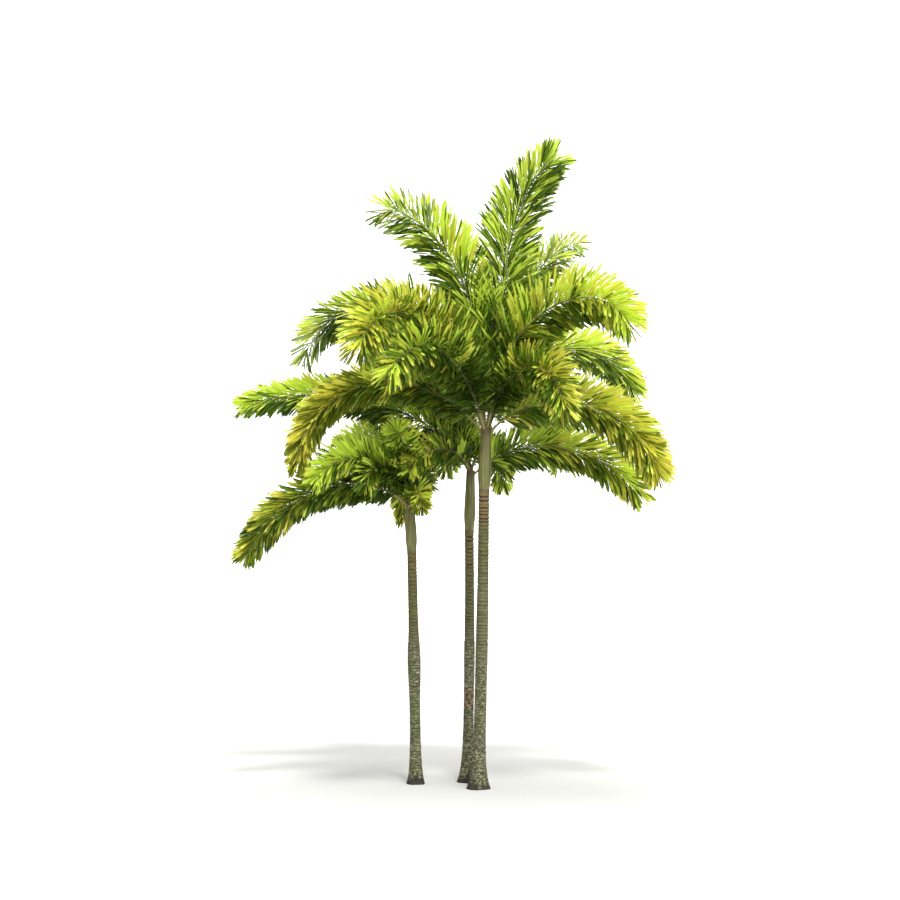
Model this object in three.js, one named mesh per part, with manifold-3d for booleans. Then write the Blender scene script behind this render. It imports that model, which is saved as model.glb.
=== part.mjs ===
// A clump of three foxtail palms (Wodyetia bifurcata) rooted in the ground.
// Units are millimetres, +Z is up, and the origin is the centre of the tall stem's flat cut at ground level.
// Each palm is a ringed trunk, a smooth green crownshaft and a crown of arching fronds.
// A foxtail's leaflets stand all round the rib, so a frond is a rib with four thin swept blades:
// one to each side, one above and one below. Each frond is split at its bend into a base and a tip.
import * as THREE from "three";
import { mergeVertices } from "three/addons/utils/BufferGeometryUtils.js";
import Module from "manifold-3d";

// ---------------------------------------------------------------- driving dimensions

// foot and neck are the centres of the trunk's two ends, crown is the centre of the crownshaft's top.
// bow is how far the trunk wanders sideways on its way up, belly how much it swells below its middle.
const STEMS = [
  {
    name: "tall",
    foot: [0, 0],
    neck: [68, 0, 2860],
    crown: [92, 0, 3500],
    girth: 59,
    flare: 58,
    bow: 8,
    belly: 4,
  },
  {
    name: "middle",
    foot: [-98, 480],
    neck: [-72, 490, 2490],
    crown: [-56, 500, 3140],
    girth: 52,
    flare: 48,
    bow: 12,
    belly: 5,
  },
  {
    name: "short",
    foot: [-608, 350],
    neck: [-658, 350, 2270],
    crown: [-680, 350, 2800],
    girth: 53,
    flare: 38,
    bow: 4,
    belly: 14,
  },
];

// One row for each frond. azimuth is its heading (0 is +X, 90 is +Y), rise its angle above level at the root,
// arch how many degrees it turns down by its tip, bend how late it does so, sway how far its heading turns,
// reach its length along the rib, and spread the length of its leaflets.
const FRONDS = [
  { stem: "tall", azimuth: 350, rise: 84, arch: 58, bend: 5, sway: 0, reach: 3050, spread: 405 },
  { stem: "tall", azimuth: 201, rise: 88, arch: 113, bend: 2.45, sway: 32, reach: 2840, spread: 385 },
  { stem: "tall", azimuth: 40, rise: 75, arch: 64, bend: 2.4, sway: 5, reach: 2890, spread: 290 },
  { stem: "tall", azimuth: 329, rise: 86, arch: 146, bend: 1.3, sway: -23, reach: 2600, spread: 370 },
  { stem: "tall", azimuth: 14, rise: 86, arch: 130, bend: 0.85, sway: 35, reach: 2680, spread: 300 },
  { stem: "tall", azimuth: 357, rise: 53, arch: 129, bend: 0.87, sway: -19, reach: 2160, spread: 310 },
  { stem: "tall", azimuth: 220, rise: 80, arch: 142, bend: 1.05, sway: 30, reach: 2790, spread: 370 },
  { stem: "tall", azimuth: 172, rise: 70, arch: 150, bend: 1.9, sway: -25, reach: 2980, spread: 310 },
  { stem: "tall", azimuth: 181, rise: 53, arch: 148, bend: 1.21, sway: 10, reach: 2580, spread: 250 },
  { stem: "tall", azimuth: 312, rise: 80, arch: 160, bend: 1, sway: -20, reach: 1800, spread: 290 },
  { stem: "tall", azimuth: 240, rise: 62, arch: 120, bend: 1.2, sway: 0, reach: 2200, spread: 320 },
  { stem: "tall", azimuth: 62, rise: 60, arch: 125, bend: 0.98, sway: 5, reach: 2600, spread: 300 },
  { stem: "tall", azimuth: 128, rise: 62, arch: 120, bend: 1.4, sway: 5, reach: 2700, spread: 320 },
  { stem: "middle", azimuth: 0, rise: 51, arch: 108, bend: 0.82, sway: -8, reach: 2040, spread: 290 },
  { stem: "middle", azimuth: 51, rise: 81, arch: 159, bend: 0.87, sway: 32, reach: 1340, spread: 210 },
  { stem: "middle", azimuth: 156, rise: 72, arch: 90, bend: 0.63, sway: 28, reach: 2860, spread: 280 },
  { stem: "middle", azimuth: 207, rise: 85, arch: 150, bend: 0.7, sway: 8, reach: 950, spread: 200 },
  { stem: "middle", azimuth: 95, rise: 62, arch: 120, bend: 1.2, sway: 10, reach: 2030, spread: 290 },
  { stem: "middle", azimuth: 128, rise: 72, arch: 115, bend: 1.5, sway: 0, reach: 2300, spread: 290 },
  { stem: "short", azimuth: 214, rise: 52, arch: 117, bend: 0.67, sway: -42, reach: 2050, spread: 260 },
  { stem: "short", azimuth: 206, rise: 78, arch: 134, bend: 0.97, sway: 7, reach: 1340, spread: 260 },
  { stem: "short", azimuth: 253, rise: 87, arch: 84, bend: 1.31, sway: 9, reach: 950, spread: 250 },
  { stem: "short", azimuth: 224, rise: 79, arch: 174, bend: 1.5, sway: 1, reach: 920, spread: 220 },
  { stem: "short", azimuth: 291, rise: 73, arch: 157, bend: 0.92, sway: -3, reach: 500, spread: 160 },
  { stem: "short", azimuth: 102, rise: 76, arch: 160, bend: 1, sway: -15, reach: 1830, spread: 220 },
  { stem: "short", azimuth: 84, rise: 66, arch: 115, bend: 1.2, sway: 0, reach: 1200, spread: 260 },
  { stem: "short", azimuth: 126, rise: 70, arch: 125, bend: 1.4, sway: 0, reach: 1950, spread: 280 },
];

const TRUNK_SIDES = 11;
const TRUNK_STATIONS = [0, 0.03, 0.08, 0.2, 0.38, 0.52, 0.68, 1];
const FLARE_HEIGHT = 150; // over which the root flare dies away to a third
const FLARE_LOBES = 3;
const LOBE_DEPTH = 0.12;
const NECK_TAPER = 0.1; // how much of its girth a trunk loses by the neck
const BELLY_PLACE = 0.52; // height of the belly, as a share of the trunk
const BELLY_LENGTH = 0.12;

const SHAFT_SIDES = 9;
const SHAFT_STATIONS = [0, 0.08, 0.3, 0.65, 1];
const SHAFT_SWELL = 1.12; // the crownshaft's widest girth, near its foot, as a share of the trunk's
const SHAFT_TOP = 0.86; // and its girth at the top
const SHAFT_WIDEST = 0.3; // the height of its widest girth, as a share of its length

const RIB_ROOT = 18; // radius of a rib at the root and at the tip
const RIB_TIP = 6;
const RIB_SIDES = 3;
const RIB_STATIONS = [0, 0.1, 0.2, 0.33, 0.46, 0.62, 0.8, 0.98];
const RIB_TURN = 0.3; // how far the rib is turned about its own line, as a share of one side
const RIB_STOP = 12; // how far inside the blades a rib stops at the split
const CORE = 1.5; // the blades' shared middle, as a multiple of the rib's radius
const BARE_CORE = 0.8; // the same multiple on the bare stalk
const CORE_FILLING = 3; // how fast the core grows with the blades
const RIB_STEPS = 96; // steps in which a rib's line is summed
const LEAFLESS = 0.1; // share of a frond that is bare stalk
const OPENING = 0.34; // share of the leafy part over which the blades widen
const CLOSING = { from: 0.62, by: 0.68, power: 2.4 }; // where the blades start to narrow, how much, how late
const BLADE_STATIONS = [0.1, 0.2, 0.33, 0.46, 0.62, 0.8, 1];
const SPLIT = 0.46; // where a frond is split, as a share of its reach
const SWEEP = 0.45; // how far a blade's edge lies ahead of the rib, as a share of its width
const BLADE_REACH = { side: 1, above: 0.9, below: 0.92 }; // blade widths as shares of the spread
const RAGGED = 0.09; // unevenness of the blades' edges
const ROOT_RING = 0.55; // how far out on the crownshaft's top the ribs stand, as a share of its girth
const ROOT_INSET = 0.35; // how far in an upright frond's rib stands, as a share of a level one's
const ROOT_DEPTH = 70; // how much lower a level frond's rib starts than an upright one's
const ROOT_SINK = 12; // how far below the crownshaft's top an upright frond's rib starts

const SEAT_GAP = 0.35; // between pieces that touch
const PASS_GAP = 3; // between pieces that only pass each other
const CLEAR_WIDTH = 1.1; // how much wider than the blades the cutter made from them is
const SAME_PLACE = 1e-3; // vertices nearer than this are one
const COLOURS = { trunk: 0x787558, crownshaft: 0x6e713c, frond: 0x8fa82f };

// ---------------------------------------------------------------- small helpers

const wasm = await Module();
wasm.setup();

const radians = THREE.MathUtils.degToRad;
const vector = (p) => new THREE.Vector3(...p);

// A closed mesh through rings of points, all with the same count, which run along the piece.
// The diagonals alternate, so that the two faces of a twisted blade are creased alike and never cross.
// Its two ends are fans, from a ring's own first point or from the two middles given.
function loft(rings, middles = []) {
  const sides = rings[0].length;
  const positions = [...rings.flat(), ...middles].flatMap((p) => [p.x, p.y, p.z]);
  const index = [];
  for (let ring = 0; ring < rings.length - 1; ring++) {
    for (let side = 0; side < sides; side++) {
      const a = ring * sides + side;
      const b = ring * sides + ((side + 1) % sides);
      if (side % 2 === 0) index.push(a, b, b + sides, a, b + sides, a + sides);
      else index.push(a, b, a + sides, b, b + sides, a + sides);
    }
  }
  const last = (rings.length - 1) * sides;
  const [startHub, endHub] = middles.length ? [last + sides, last + sides + 1] : [0, last];
  for (let side = 0; side < sides; side++) {
    const next = (side + 1) % sides;
    if (side !== startHub && next !== startHub) index.push(startHub, next, side);
    if (last + side !== endHub && last + next !== endHub) index.push(endHub, last + side, last + next);
  }
  const geometry = new THREE.BufferGeometry();
  geometry.setAttribute("position", new THREE.Float32BufferAttribute(positions, 3));
  geometry.setIndex(index);
  return geometry;
}

function solidOf(geometry) {
  const merged = mergeVertices(geometry, SAME_PLACE);
  return new wasm.Manifold(
    new wasm.Mesh({
      numProp: 3,
      vertProperties: new Float32Array(merged.attributes.position.array),
      triVerts: new Uint32Array(merged.index.array),
    }),
  );
}

function geometryOf(solid) {
  const mesh = solid.getMesh();
  const positions = [];
  for (let vertex = 0; vertex < mesh.numVert; vertex++) {
    const start = vertex * mesh.numProp;
    positions.push(...mesh.vertProperties.subarray(start, start + 3));
  }
  const geometry = new THREE.BufferGeometry();
  geometry.setAttribute("position", new THREE.Float32BufferAttribute(positions, 3));
  geometry.setIndex(new THREE.BufferAttribute(mesh.triVerts, 1));
  return geometry;
}

// The largest body of a solid, which is the one that holds the rib.
function mainBody(solid) {
  return solid.decompose().reduce((a, b) => (a.volume() > b.volume() ? a : b));
}

// Eased blend from 0 to 1 as x goes from low to high.
const ease = (x, low, high) => THREE.MathUtils.smoothstep(x, low, high);

// A repeatable value from -1 to 1 for three whole numbers, from the digits far down in a sine.
const MIXERS = [12.99, 78.23, 37.72];
const MIX_SCALE = 43758.55;
function uneven(frond, station, blade) {
  const mixed = Math.sin(frond * MIXERS[0] + station * MIXERS[1] + blade * MIXERS[2]) * MIX_SCALE;
  return 2 * (mixed - Math.floor(mixed)) - 1;
}

// ---------------------------------------------------------------- trunks and crownshafts

function trunkCentre(stem, share) {
  const [x, y] = stem.foot;
  const foot = new THREE.Vector3(x, y, 0);
  const centre = foot.lerp(vector(stem.neck), share);
  centre.x += stem.bow * Math.sin(Math.PI * share);
  return centre;
}

function trunkGirth(stem, share, angle) {
  const height = share * stem.neck[2];
  const lobes = 1 + LOBE_DEPTH * Math.cos(FLARE_LOBES * angle + stem.foot[0]);
  const flare = stem.flare * lobes * Math.exp(-height / FLARE_HEIGHT);
  const belly = stem.belly * Math.exp(-(((share - BELLY_PLACE) / BELLY_LENGTH) ** 2));
  return stem.girth * (1 - NECK_TAPER * share) + flare + belly;
}

// A level ring of points round a centre, with a radius for each angle.
function ringRound(centre, sides, radiusAt) {
  return Array.from({ length: sides }, (_, side) => {
    const angle = (2 * Math.PI * side) / sides;
    const radius = radiusAt(angle);
    return new THREE.Vector3(
      centre.x + radius * Math.cos(angle),
      centre.y + radius * Math.sin(angle),
      centre.z,
    );
  });
}

// grow makes a trunk or crownshaft larger all round, for cutting the fronds that meet it.
function trunk(stem, grow = 0) {
  const rings = TRUNK_STATIONS.map((share) =>
    ringRound(trunkCentre(stem, share), TRUNK_SIDES, (angle) => trunkGirth(stem, share, angle) + grow),
  );
  return loft(rings);
}

function shaftGirth(stem, share) {
  const neck = stem.girth * (1 - NECK_TAPER);
  const swollen = neck + (stem.girth * SHAFT_SWELL - neck) * ease(share, 0, SHAFT_WIDEST);
  return swollen + (stem.girth * SHAFT_TOP - swollen) * ease(share, SHAFT_WIDEST, 1);
}

function crownshaft(stem, grow = 0) {
  const foot = vector(stem.neck).add(new THREE.Vector3(0, 0, SEAT_GAP - grow));
  const top = vector(stem.crown).add(new THREE.Vector3(0, 0, grow));
  const rings = SHAFT_STATIONS.map((share) =>
    ringRound(foot.clone().lerp(top, share), SHAFT_SIDES, () => shaftGirth(stem, share) + grow),
  );
  return loft(rings);
}

// ---------------------------------------------------------------- fronds

const stemOf = (frond) => STEMS.find((stem) => stem.name === frond.stem);

// The unit vectors at a share t of the frond: along the rib, out to its side, and up from it.
function frameAt(frond, t) {
  const turned = t ** frond.bend;
  const tilt = radians(frond.rise - frond.arch * turned);
  const heading = radians(frond.azimuth + frond.sway * turned);
  const [cosTilt, sinTilt] = [Math.cos(tilt), Math.sin(tilt)];
  const [cosHead, sinHead] = [Math.cos(heading), Math.sin(heading)];
  return {
    along: new THREE.Vector3(cosTilt * cosHead, cosTilt * sinHead, sinTilt),
    side: new THREE.Vector3(-sinHead, cosHead, 0),
    above: new THREE.Vector3(-sinTilt * cosHead, -sinTilt * sinHead, cosTilt),
  };
}

function ribRoot(frond) {
  const stem = stemOf(frond);
  const level = Math.cos(radians(frond.rise));
  const out = stem.girth * SHAFT_TOP * ROOT_RING * THREE.MathUtils.lerp(ROOT_INSET, 1, level);
  const heading = radians(frond.azimuth);
  const crown = vector(stem.crown);
  const down = ROOT_DEPTH * level + ROOT_SINK;
  return crown.add(new THREE.Vector3(Math.cos(heading) * out, Math.sin(heading) * out, -down));
}

// The rib's centre at a share t of the frond, summed along the arch in short steps.
function ribPoint(frond, t) {
  const point = ribRoot(frond);
  const steps = Math.max(1, Math.round(RIB_STEPS * t));
  for (let step = 0; step < steps; step++) {
    const middle = ((step + 0.5) / steps) * t;
    point.addScaledVector(frameAt(frond, middle).along, (frond.reach * t) / steps);
  }
  return point;
}

// How wide the blades are at a share t of the frond: nothing on the stalk, full by a third, round at the tip.
function fullness(t) {
  const leafy = (t - LEAFLESS) / (1 - LEAFLESS);
  if (leafy <= 0) return 0;
  const opening = 1 - (1 - Math.min(1, leafy / OPENING)) ** 2;
  const closing = Math.max(0, (leafy - CLOSING.from) / (1 - CLOSING.from));
  return opening * (1 - CLOSING.by * closing ** CLOSING.power);
}

// The rib's radius at a share t of the frond.
const ribGirth = (t) => THREE.MathUtils.lerp(RIB_ROOT, RIB_TIP, t);

// The eight-pointed section at a share t: four blade edges with the core's corners between them.
function section(frond, number, t, centre, grow) {
  const { along, side, above } = frameAt(frond, t);
  const full = fullness(t);
  const core = ribGirth(t) * THREE.MathUtils.lerp(BARE_CORE, CORE, Math.min(1, CORE_FILLING * full)) + grow;
  const reaches = [BLADE_REACH.side, BLADE_REACH.above, BLADE_REACH.side, BLADE_REACH.below];
  return Array.from({ length: 8 }, (_, corner) => {
    const angle = (Math.PI * corner) / 4;
    const point = centre.clone();
    let radius = core;
    if (corner % 2 === 0) {
      const ragged = 1 + RAGGED * uneven(number, Math.round(t * 100), corner);
      const blade = frond.spread * full * reaches[corner / 2] * ragged * (grow ? CLEAR_WIDTH : 1);
      radius = Math.max(core, blade + grow);
      point.addScaledVector(along, SWEEP * Math.max(0, blade - core));
    }
    point.addScaledVector(side, radius * Math.cos(angle));
    return point.addScaledVector(above, radius * Math.sin(angle));
  });
}

// The blades between two shares of a frond's reach. Its two halves stop a seating gap apart at the split.
function blades(frond, number, from = 0, to = 1, grow = 0) {
  const stations = BLADE_STATIONS.filter((t) => t >= from && t <= to);
  const gap = grow ? 0 : SEAT_GAP / 2;
  const centres = stations.map((t) => {
    const shift = t === SPLIT ? gap * (to > SPLIT ? 1 : -1) : 0;
    return ribPoint(frond, t).addScaledVector(frameAt(frond, t).along, shift);
  });
  const rings = stations.map((t, station) => section(frond, number, t, centres[station], grow));
  return solidOf(loft(rings, [centres[0], centres.at(-1)]));
}

// The rib between two shares of a frond's reach.
// As a cutter it is grown by a seating gap at the root, where stalks stand side by side, and by more beyond.
function rib(frond, from = 0, to = 1, cutter = false) {
  const stations = RIB_STATIONS.filter((t) => t >= from && t <= to);
  const rings = stations.map((t) => {
    const { along, side, above } = frameAt(frond, t);
    const shift = t === SPLIT && !cutter ? RIB_STOP * (to > SPLIT ? 1 : -1) : 0;
    const centre = ribPoint(frond, t).addScaledVector(along, shift);
    const clearance = t > 0 ? PASS_GAP : SEAT_GAP;
    const radius = ribGirth(t) + (cutter ? clearance : 0);
    return Array.from({ length: RIB_SIDES }, (_, corner) => {
      const angle = (2 * Math.PI * (corner + RIB_TURN)) / RIB_SIDES;
      const point = centre.clone().addScaledVector(side, radius * Math.cos(angle));
      return point.addScaledVector(above, radius * Math.sin(angle));
    });
  });
  return solidOf(loft(rings));
}

// ---------------------------------------------------------------- assembly

const materials = Object.fromEntries(
  Object.entries(COLOURS).map(([name, color]) => [
    name,
    new THREE.MeshStandardMaterial({ color, roughness: name === "trunk" ? 0.85 : 0.5, metalness: 0 }),
  ]),
);

const clump = new THREE.Group();

function addPiece(name, geometry, material) {
  const mesh = new THREE.Mesh(geometry, material);
  mesh.name = name;
  clump.add(mesh);
}

for (const stem of STEMS) {
  addPiece(`${stem.name}_trunk`, trunk(stem), materials.trunk);
  addPiece(`${stem.name}_crownshaft`, crownshaft(stem), materials.crownshaft);
}

// What the fronds are cut by: the wood, and each frond's rib and blades grown to clear their neighbours.
const woodCutters = STEMS.flatMap((stem) => [crownshaft(stem, SEAT_GAP), trunk(stem, PASS_GAP)]).map(solidOf);
const ribCutters = FRONDS.map((frond) => rib(frond, 0, 1, true));
const bladeCutters = FRONDS.map((frond, number) => blades(frond, number, 0, 1, PASS_GAP));

const placed = []; // the half fronds finished so far

function boxesMeet(a, b) {
  const [boxA, boxB] = [a.boundingBox(), b.boundingBox()];
  return [0, 1, 2].every((axis) => boxA.min[axis] < boxB.max[axis] && boxB.min[axis] < boxA.max[axis]);
}

// Cuts each cutter from a solid in turn, passing over those that lie well away from it.
function trim(solid, cutters) {
  let trimmed = solid;
  for (const cutter of cutters) {
    if (!boxesMeet(trimmed, cutter)) continue;
    const cut = trimmed.subtract(cutter);
    trimmed.delete();
    trimmed = cut;
  }
  return trimmed;
}

// A rib gives way to the wood and to the ribs listed before it.
// Blades give way to the wood, to every other rib, and to the blades listed before them.
function halfFrond(frond, number, from, to) {
  const otherRibs = ribCutters.filter((_, other) => other !== number);
  const ribRivals = [...woodCutters, ...ribCutters.slice(0, number)];
  const bladeRivals = [...woodCutters, ...otherRibs, ...bladeCutters.slice(0, number)];
  const trimmedRib = trim(rib(frond, from, to), ribRivals);
  const trimmedBlades = trim(blades(frond, number, from, to), bladeRivals);
  const joined = trimmedBlades.add(trimmedRib);
  const half = settled(clearOfPlaced(mainBody(joined)));
  [trimmedRib, trimmedBlades, joined].forEach((solid) => solid.delete());
  placed.push(half);
  return geometryOf(half);
}

// Joining vertices a hair apart can pinch slivers off a body, so they are joined and the rest kept, twice over.
function settled(solid) {
  const once = mainBody(solidOf(geometryOf(solid)));
  return mainBody(solidOf(geometryOf(once)));
}

// Twisted blades can still graze one placed before them, so what they share is cut out with a little to spare.
function clearOfPlaced(half) {
  let clear = half;
  for (const other of placed) {
    if (!boxesMeet(clear, other) || clear.intersect(other).volume() === 0) continue;
    for (const lift of [0, SEAT_GAP, -SEAT_GAP]) {
      clear = clear.subtract(other.translate(0, 0, lift));
    }
    clear = mainBody(clear);
  }
  return clear;
}

const counts = {};
FRONDS.forEach((frond, number) => {
  counts[frond.stem] = (counts[frond.stem] || 0) + 1;
  const label = `${frond.stem}_frond_${String(counts[frond.stem]).padStart(2, "0")}`;
  addPiece(`${label}_base`, halfFrond(frond, number, 0, SPLIT), materials.frond);
  addPiece(`${label}_tip`, halfFrond(frond, number, SPLIT, 1), materials.frond);
});

export default clump;
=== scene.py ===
"""A clump of three foxtail palms: ringed trunks, waxy crownshafts and bushy fronds.

The leaflets of a frond stand all round its rib. Lengths are in metres and +Z is up. The origin is the
centre of the tall stem's flat cut at ground level.
"""

import math
from typing import NamedTuple

import bpy
import numpy as np
from bpy.props import FloatProperty, FloatVectorProperty, IntProperty, PointerProperty
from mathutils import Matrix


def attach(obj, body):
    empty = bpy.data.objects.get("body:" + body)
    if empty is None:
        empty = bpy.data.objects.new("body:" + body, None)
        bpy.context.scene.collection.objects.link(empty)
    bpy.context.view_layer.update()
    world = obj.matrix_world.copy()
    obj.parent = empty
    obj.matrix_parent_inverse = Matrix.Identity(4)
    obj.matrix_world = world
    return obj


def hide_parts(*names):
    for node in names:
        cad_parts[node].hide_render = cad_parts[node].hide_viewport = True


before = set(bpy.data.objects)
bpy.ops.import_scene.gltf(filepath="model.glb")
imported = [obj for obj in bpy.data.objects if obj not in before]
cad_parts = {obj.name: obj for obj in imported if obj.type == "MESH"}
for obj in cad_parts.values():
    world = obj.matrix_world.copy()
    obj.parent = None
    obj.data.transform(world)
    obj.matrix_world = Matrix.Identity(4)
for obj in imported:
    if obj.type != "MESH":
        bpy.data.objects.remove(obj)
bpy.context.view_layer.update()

bl_info = {
    "name": "Foxtail palm clump",
    "version": (1, 0, 0),
    "blender": (4, 5, 0),
    "location": "3D Viewport > Sidebar > Palm",
    "description": "Models the bark, crownshafts, ribs and leaflets of a clump of foxtail palms",
    "category": "Object",
}

# ------------ the clump's plan

# The centres of each trunk's two ends and of its crownshaft's top, then the sizes that shape the trunk: its
# radius, and how far its foot flares, its middle bows to the side and its belly swells. Of its bark, moss
# is how green it is low down, lichen how spotted, rust how brown its newest rings are, blush how pink its
# specks are, and dark_rings the heights of its darkest scars.
STEMS = {
    "tall": {
        "foot": (0.0, 0.0, 0.0), "neck": (0.068, 0.0, 2.86), "crown": (0.092, 0.0, 3.5),
        "girth": 0.059, "flare": 0.058, "bow": 0.008, "belly": 0.004,
        "moss": 0.15, "lichen": 0.55, "rust": 1.0, "blush": 0.0,
        "dark_rings": (2.82, 2.75, 2.68, 2.63, 2.57),
    },
    "middle": {
        "foot": (-0.098, 0.48, 0.0), "neck": (-0.072, 0.49, 2.49), "crown": (-0.056, 0.5, 3.14),
        "girth": 0.052, "flare": 0.048, "bow": 0.012, "belly": 0.005,
        "moss": 0.25, "lichen": 0.7, "rust": 0.7, "blush": 0.8,
        "dark_rings": (2.47, 2.43, 2.39, 2.32, 2.15),
    },
    "short": {
        "foot": (-0.608, 0.35, 0.0), "neck": (-0.658, 0.35, 2.27), "crown": (-0.68, 0.35, 2.8),
        "girth": 0.053, "flare": 0.038, "bow": 0.004, "belly": 0.014,
        "moss": 0.7, "lichen": 0.6, "rust": 0.35, "blush": 0.0,
        "dark_rings": (2.25, 0.94),
    },
}
FLARE_HEIGHT = 0.15  # height in which a foot's flare fades to about a third
FLARE_LOBES = 3
LOBE_DEPTH = 0.12  # how far the lobes of a flare stand out, as a share of the flare
LOBE_SHIFT = 1000  # shift of their wave, in radians for each metre of the foot's place along X
NECK_TAPER = 0.1  # share of its girth that a trunk loses on its way up
BELLY_PLACE = 0.52  # shares of a trunk's height
BELLY_LENGTH = 0.12
SHAFT_SWELL = 1.12  # a crownshaft's girth where it is widest, against its trunk's
SHAFT_TOP = 0.86  # its girth at the top, against its trunk's
SWELL_PLACE = 0.3  # share of its height where it is widest

# A frond starts inside its crownshaft: a level one low and well out, and an upright one high and near the
# middle. The ring is a share of the crownshaft's radius, and the core a share of the ring.
ROOT_RING = 0.55
ROOT_CORE = 0.35
ROOT_DEPTH = 0.07
ROOT_SINK = 0.012
LEAFLESS = 0.1  # share of a frond that is bare stalk
LAST_WHORL = 0.95  # share of a frond where its last leaflets stand

# One row for each frond: its stem, azimuth, rise, arch, bend, sway, reach and spread as in the frame, then
# tone, from deep green at 0 to lime at 1, and warmth, from green at 0 to gold at 1. The tone is partly
# painted
# light: each frond's was matched to how lit or shaded it looks, and raised for fronds in the crown's shade.
FRONDS = [
    ("tall", 350, 84, 58, 5.0, 0, 3.05, 0.405, 0.6, 0.05),
    ("tall", 201, 88, 113, 2.45, 32, 2.84, 0.385, 0.6, 0.1),
    ("tall", 40, 75, 64, 2.4, 5, 2.89, 0.29, 0.55, 0.1),
    ("tall", 329, 86, 146, 1.3, -23, 2.6, 0.37, 0.62, 0.3),
    ("tall", 14, 86, 130, 0.85, 35, 2.68, 0.3, 0.62, 0.2),
    ("tall", 357, 53, 129, 0.87, -19, 2.16, 0.31, 0.62, 0.8),
    ("tall", 220, 80, 142, 1.05, 30, 2.79, 0.37, 0.46, 0.5),
    ("tall", 172, 70, 150, 1.9, -25, 2.98, 0.31, 0.46, 0.15),
    ("tall", 181, 53, 148, 1.21, 10, 2.58, 0.25, 0.42, 0.95),
    ("tall", 312, 80, 160, 1.0, -20, 1.8, 0.29, 0.36, 0.5),
    ("tall", 240, 62, 120, 1.2, 0, 2.2, 0.32, 0.46, 0.15),
    ("tall", 62, 60, 125, 0.98, 5, 2.6, 0.3, 0.66, 0.2),
    ("tall", 128, 62, 120, 1.4, 5, 2.7, 0.32, 0.62, 0.2),
    ("middle", 0, 51, 108, 0.82, -8, 2.04, 0.29, 0.65, 0.35),
    ("middle", 51, 81, 159, 0.87, 32, 1.34, 0.21, 0.5, 0.3),
    ("middle", 156, 72, 90, 0.63, 28, 2.86, 0.28, 0.62, 0.05),
    ("middle", 207, 85, 150, 0.7, 8, 0.95, 0.2, 0.48, 0.4),
    ("middle", 95, 62, 120, 1.2, 10, 2.03, 0.29, 0.58, 0.1),
    ("middle", 128, 72, 115, 1.5, 0, 2.3, 0.29, 0.62, 0.1),
    ("short", 214, 52, 117, 0.67, -42, 2.05, 0.26, 0.28, 0.55),
    ("short", 206, 78, 134, 0.97, 7, 1.34, 0.26, 0.66, 0.05),
    ("short", 253, 87, 84, 1.31, 9, 0.95, 0.25, 0.66, 0.1),
    ("short", 224, 79, 174, 1.5, 1, 0.92, 0.22, 0.47, 0.15),
    ("short", 291, 73, 157, 0.92, -3, 0.5, 0.16, 0.5, 0.55),
    ("short", 102, 76, 160, 1.0, -15, 1.83, 0.22, 0.6, 0.7),
    ("short", 84, 66, 115, 1.2, 0, 1.2, 0.26, 0.56, 0.4),
    ("short", 126, 70, 125, 1.4, 0, 1.95, 0.28, 0.56, 0.2),
]

# Fronds, by stem and azimuth, that have lost leaflets near their tips.
THIN_FRONDS = (("tall", 201), ("tall", 172), ("tall", 40))

# The leaf colours: each is one plain colour, dealt out to whole sprays. Lime, bright and deep green also
# stand for painted sunlight and painted shade, since a leaflet's tint follows which way it faces.
TINTS = ("lime", "bright", "green", "deep", "gold", "olive", "pale")

# ------------ settings


class PalmTrunkSettings(bpy.types.PropertyGroup):
    """The rings and the bark colours of the trunks"""

    sides: IntProperty(name="Sides", description="Faces round each trunk", default=40, min=12)
    ring_top: FloatProperty(
        name="Ring spacing at the top", description="Height between leaf scars below the crownshaft",
        default=0.04, unit="LENGTH",
    )
    ring_foot: FloatProperty(
        name="Ring spacing at the foot", description="Height between leaf scars near the ground",
        default=0.026, unit="LENGTH",
    )
    relief: FloatProperty(
        name="Ring relief", description="How deep the leaf scars are cut", default=0.0024, unit="LENGTH",
    )
    upper: FloatVectorProperty(
        name="Upper bark", description="Colour of the young bark", subtype="COLOR",
        size=3, default=(0.096, 0.094, 0.024),
    )
    lower: FloatVectorProperty(
        name="Lower bark", description="Colour of the old bark", subtype="COLOR",
        size=3, default=(0.12, 0.119, 0.058),
    )
    lichen: FloatVectorProperty(
        name="Lichen", description="Colour of the pale lichen spots", subtype="COLOR",
        size=3, default=(0.37, 0.38, 0.29),
    )


class PalmShaftSettings(bpy.types.PropertyGroup):
    """The fineness and the colour of the crownshafts"""

    sides: IntProperty(name="Sides", description="Faces round each crownshaft", default=48, min=12)
    colour: FloatVectorProperty(
        name="Sheath", description="Colour of the crownshaft", subtype="COLOR",
        size=3, default=(0.12, 0.119, 0.034),
    )


class PalmRibSettings(bpy.types.PropertyGroup):
    """The thickness and the colour of the ribs"""

    root_width: FloatProperty(
        name="Width at the root", description="Half the width of a stalk where it leaves the crownshaft",
        default=0.022, unit="LENGTH",
    )
    girth: FloatProperty(
        name="Girth", description="Radius of a rib where its leaflets begin", default=0.016, unit="LENGTH",
    )
    tip: FloatProperty(name="Tip", description="Radius of a rib at its tip", default=0.003, unit="LENGTH")
    colour: FloatVectorProperty(
        name="Rib", description="Colour of the ribs and stalks", subtype="COLOR",
        size=3, default=(0.24, 0.26, 0.11),
    )


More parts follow.
